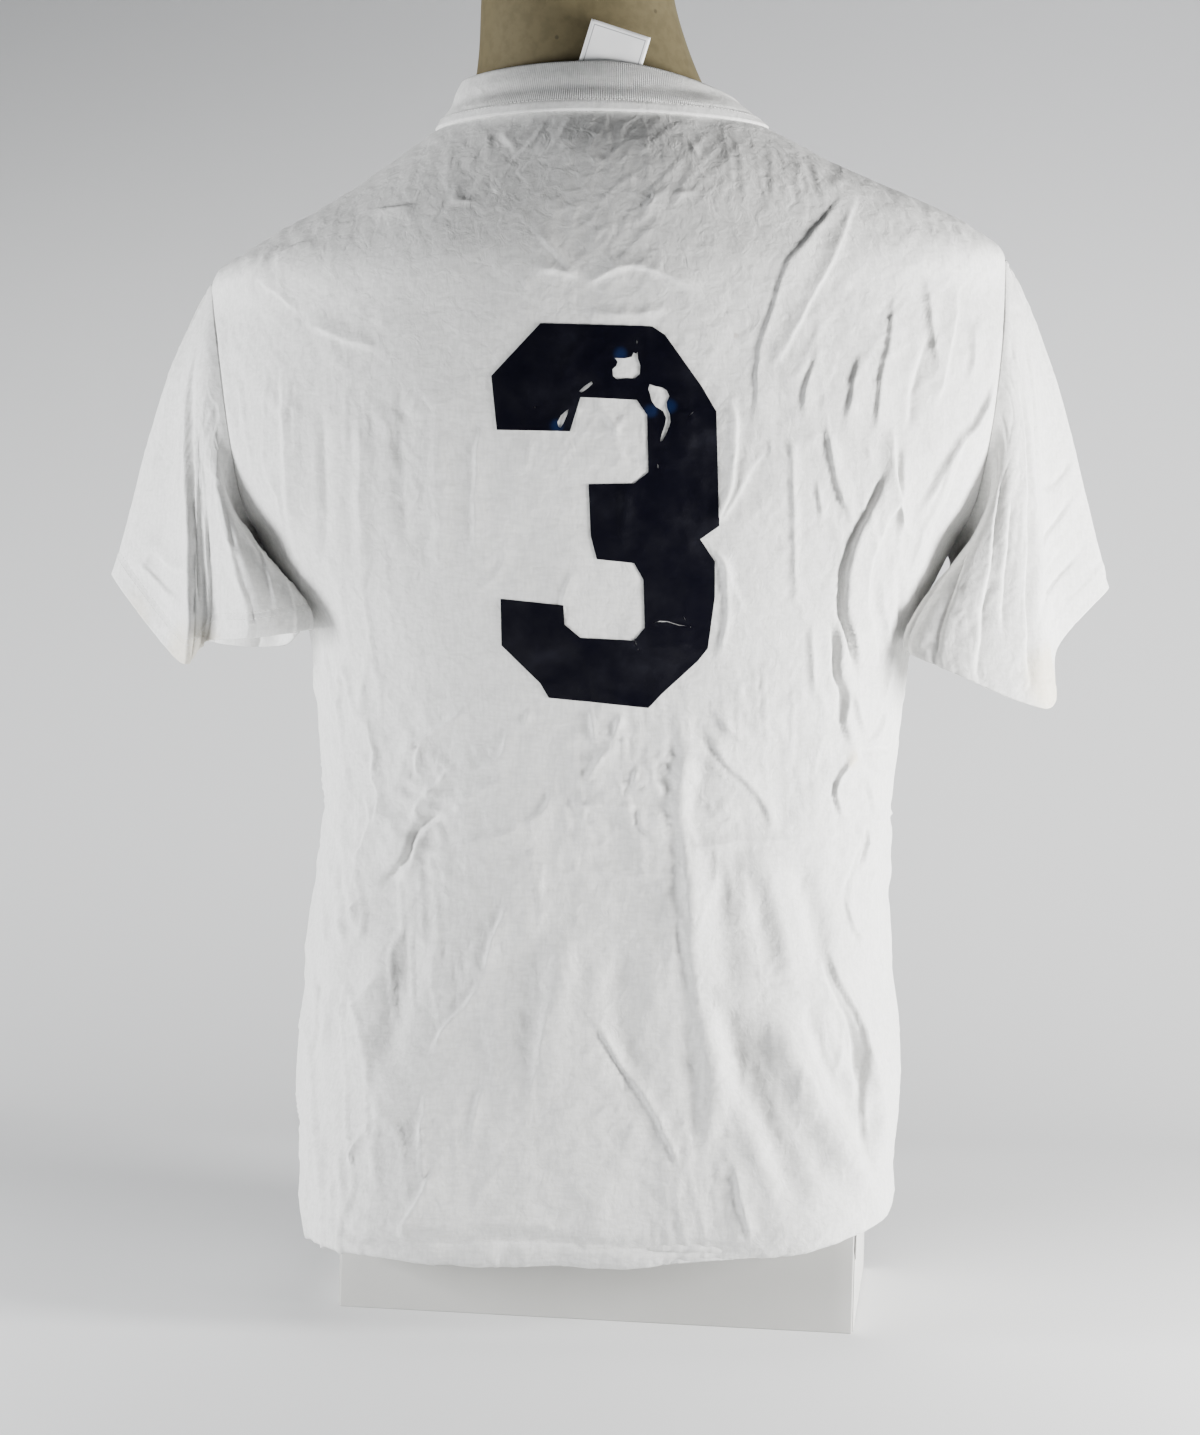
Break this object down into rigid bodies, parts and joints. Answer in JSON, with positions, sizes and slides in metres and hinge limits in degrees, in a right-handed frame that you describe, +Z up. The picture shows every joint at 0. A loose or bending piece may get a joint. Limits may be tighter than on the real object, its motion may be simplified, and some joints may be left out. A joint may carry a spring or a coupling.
{
  "type": "t-shirt on a dress form",
  "caption": "Short-sleeved cotton team t-shirt with a ribbed neck and an applied block numeral on its back, drawn over a limbless dress form that stands on a low card box.",
  "frame": {"origin": "the floor, under the card box that the dress form stands on", "axes": "+Z up; the wearer faces -Y, so the numbered back looks towards +Y; +X is the wearer's left"},
  "size_m": [0.6424, 0.3016, 0.855],
  "materials": {
    "cotton_jersey": "washed white cotton jersey, matt",
    "cotton_rib": "fine vertical rib, matt",
    "label_satin": "woven satin, bare",
    "navy_vinyl": "heat-pressed film, cracked and flaking",
    "form_skin": "khaki, slightly mottled",
    "white_card": "white card, matt"
  },
  "bodies": {
    "root": {"back_panel": "cotton_jersey", "front_panel": "cotton_jersey", "sleeve_left": "cotton_jersey", "sleeve_right": "cotton_jersey", "neck_rib": "cotton_rib", "neck_label": "label_satin", "numeral": "navy_vinyl", "dress_form": "form_skin", "card_box": "white_card"}
  },
  "joints": []
}
